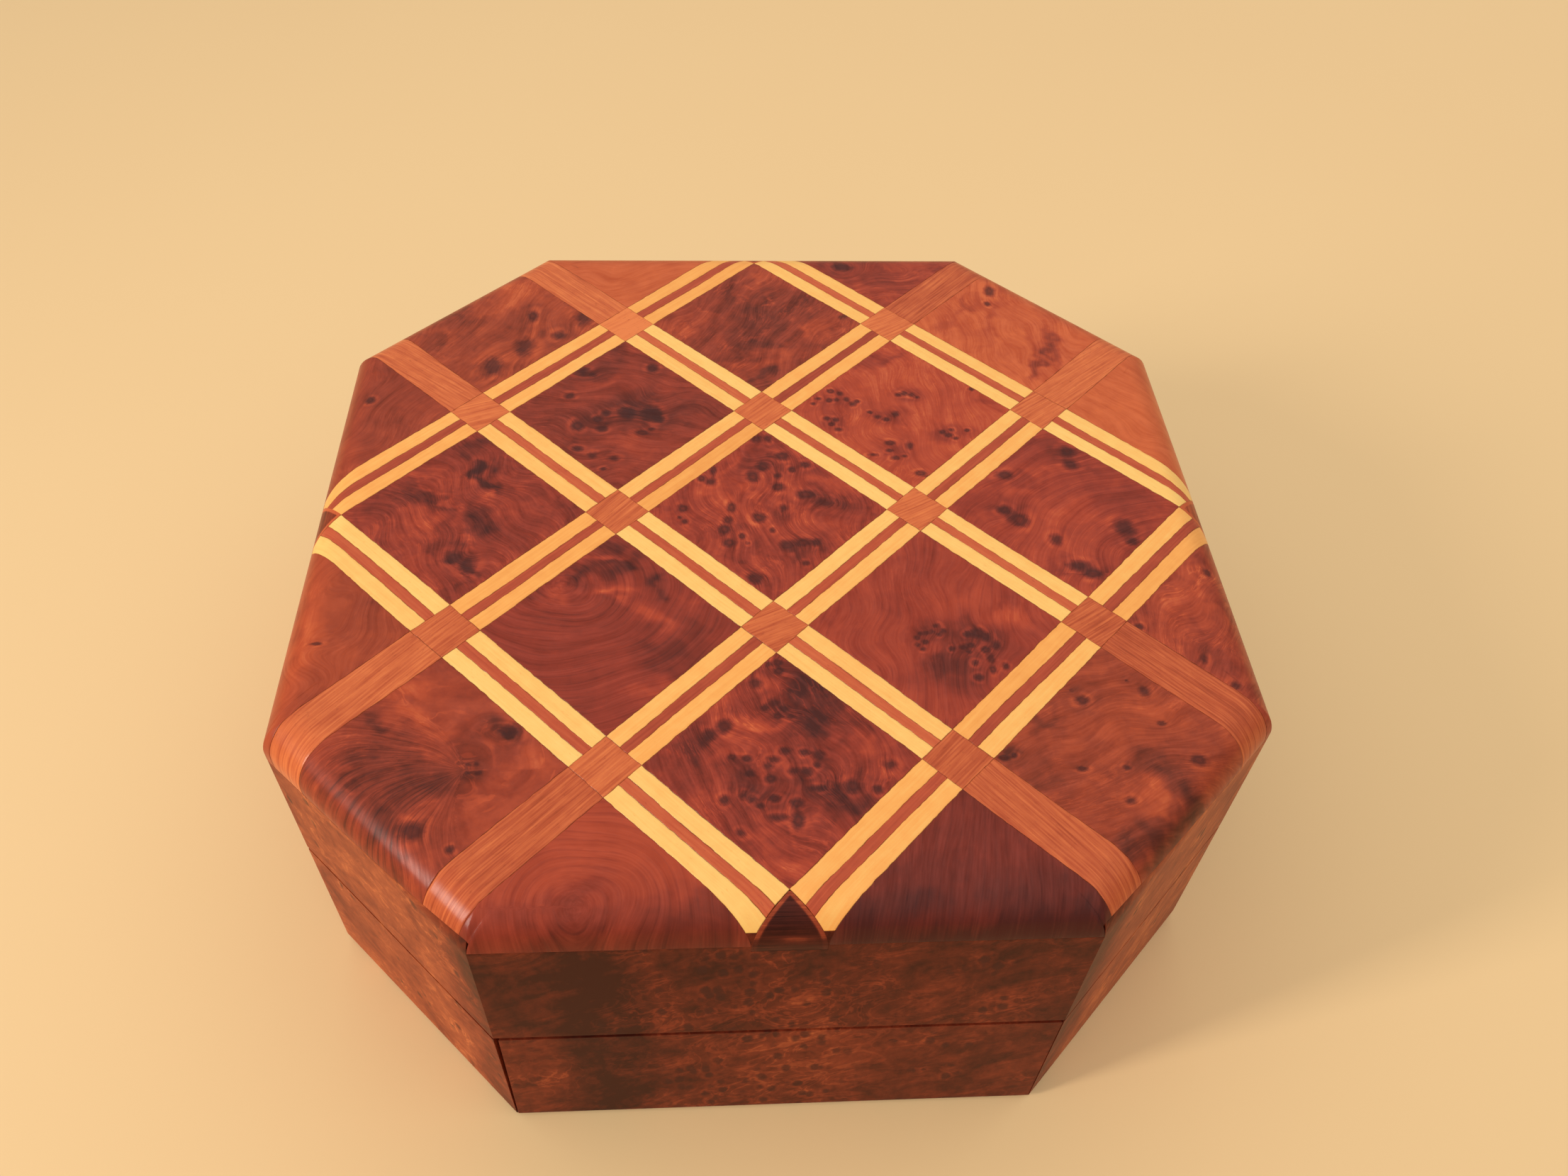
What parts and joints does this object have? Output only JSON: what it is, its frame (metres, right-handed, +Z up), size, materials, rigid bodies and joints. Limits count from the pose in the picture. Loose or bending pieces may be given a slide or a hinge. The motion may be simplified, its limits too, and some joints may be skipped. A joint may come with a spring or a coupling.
{
  "type": "wooden puzzle box",
  "caption": "Octagonal wooden puzzle box with a lattice marquetry lid on hinges, sliding side panels that hide a keyhole and a key, and a small box lock inside.",
  "frame": {"origin": "middle of the underside, on the surface that the box stands on", "axes": "+Z up, -Y towards the front panel, +X to the right as seen from the front"},
  "size_m": [0.14, 0.14, 0.0606],
  "materials": {
    "thuya_burl": "gloss varnish",
    "plain_thuya": "gloss varnish",
    "lemonwood": "gloss varnish",
    "red_wood": "gloss varnish",
    "lining_wood": "satin",
    "brass": "polished",
    "steel": "bright"
  },
  "bodies": {
    "base": {"base_floor": "lining_wood", "front_inner_wall": "lining_wood", "key_inner_wall": "lining_wood", "base_wall_front_right": "thuya_burl", "base_wall_right": "thuya_burl", "base_wall_back_right": "thuya_burl", "base_wall_back": "thuya_burl", "base_wall_back_left": "thuya_burl", "base_wall_left": "thuya_burl", "lip_front": "lining_wood", "lip_front_right": "lining_wood", "lip_right": "lining_wood", "lip_back_right": "lining_wood", "lip_back": "lining_wood", "lip_back_left": "lining_wood", "lip_left": "lining_wood", "lip_front_left": "lining_wood", "lock_case": "brass", "lock_cover": "brass", "lock_posts": "steel", "lock_spring": "steel", "lock_screws": "brass", "keyhole_plate": "brass", "keyhole_pins": "brass", "key": "steel", "hinge_left_base_leaf": "brass", "hinge_right_base_leaf": "brass", "hinge_left_pin": "steel", "hinge_right_pin": "steel", "base_hinge_screws": "brass"},
    "lid": {"lid_wall_front": "thuya_burl", "lid_wall_front_right": "thuya_burl", "lid_wall_right": "thuya_burl", "lid_wall_back_right": "thuya_burl", "lid_wall_back": "thuya_burl", "lid_wall_back_left": "thuya_burl", "lid_wall_left": "thuya_burl", "lid_wall_front_left": "thuya_burl", "lid_board": "plain_thuya", "lid_ribs": "thuya_burl", "burl_squares": "thuya_burl", "burl_side_tiles": "thuya_burl", "burl_corner_tiles": "thuya_burl", "border_bands": "plain_thuya", "lemonwood_strips": "lemonwood", "red_strips": "red_wood", "lattice_squares": "plain_thuya", "lattice_end_triangles": "thuya_burl", "strike_plate": "brass", "strike_screws": "brass", "hinge_left_lid_leaf": "brass", "hinge_right_lid_leaf": "brass", "lid_hinge_screws": "brass"},
    "front_panel": {"front_panel": "thuya_burl", "front_panel_runners": "lining_wood"},
    "key_panel": {"key_panel": "thuya_burl", "key_panel_runner": "lining_wood"},
    "lock_bolt": {"lock_bolt": "steel"}
  },
  "joints": [
    {"name": "lid_hinge", "type": "hinge", "parent": "base", "child": "lid", "pos_m": [0, 0.0678, 0.0295], "axis": [-1, 0, 0], "range_deg": [0, 95]},
    {"name": "front_panel_slide", "type": "slide", "parent": "base", "child": "front_panel", "axis": [0, 0, -1], "range_m": [0, 0.0145]},
    {"name": "key_panel_slide", "type": "slide", "parent": "base", "child": "key_panel", "axis": [-0.7071, 0.7071, 0], "range_m": [0, 0.0245]},
    {"name": "lock_bolt_slide", "type": "slide", "parent": "base", "child": "lock_bolt", "axis": [1, 0, 0], "range_m": [0, 0.0042]}
  ]
}
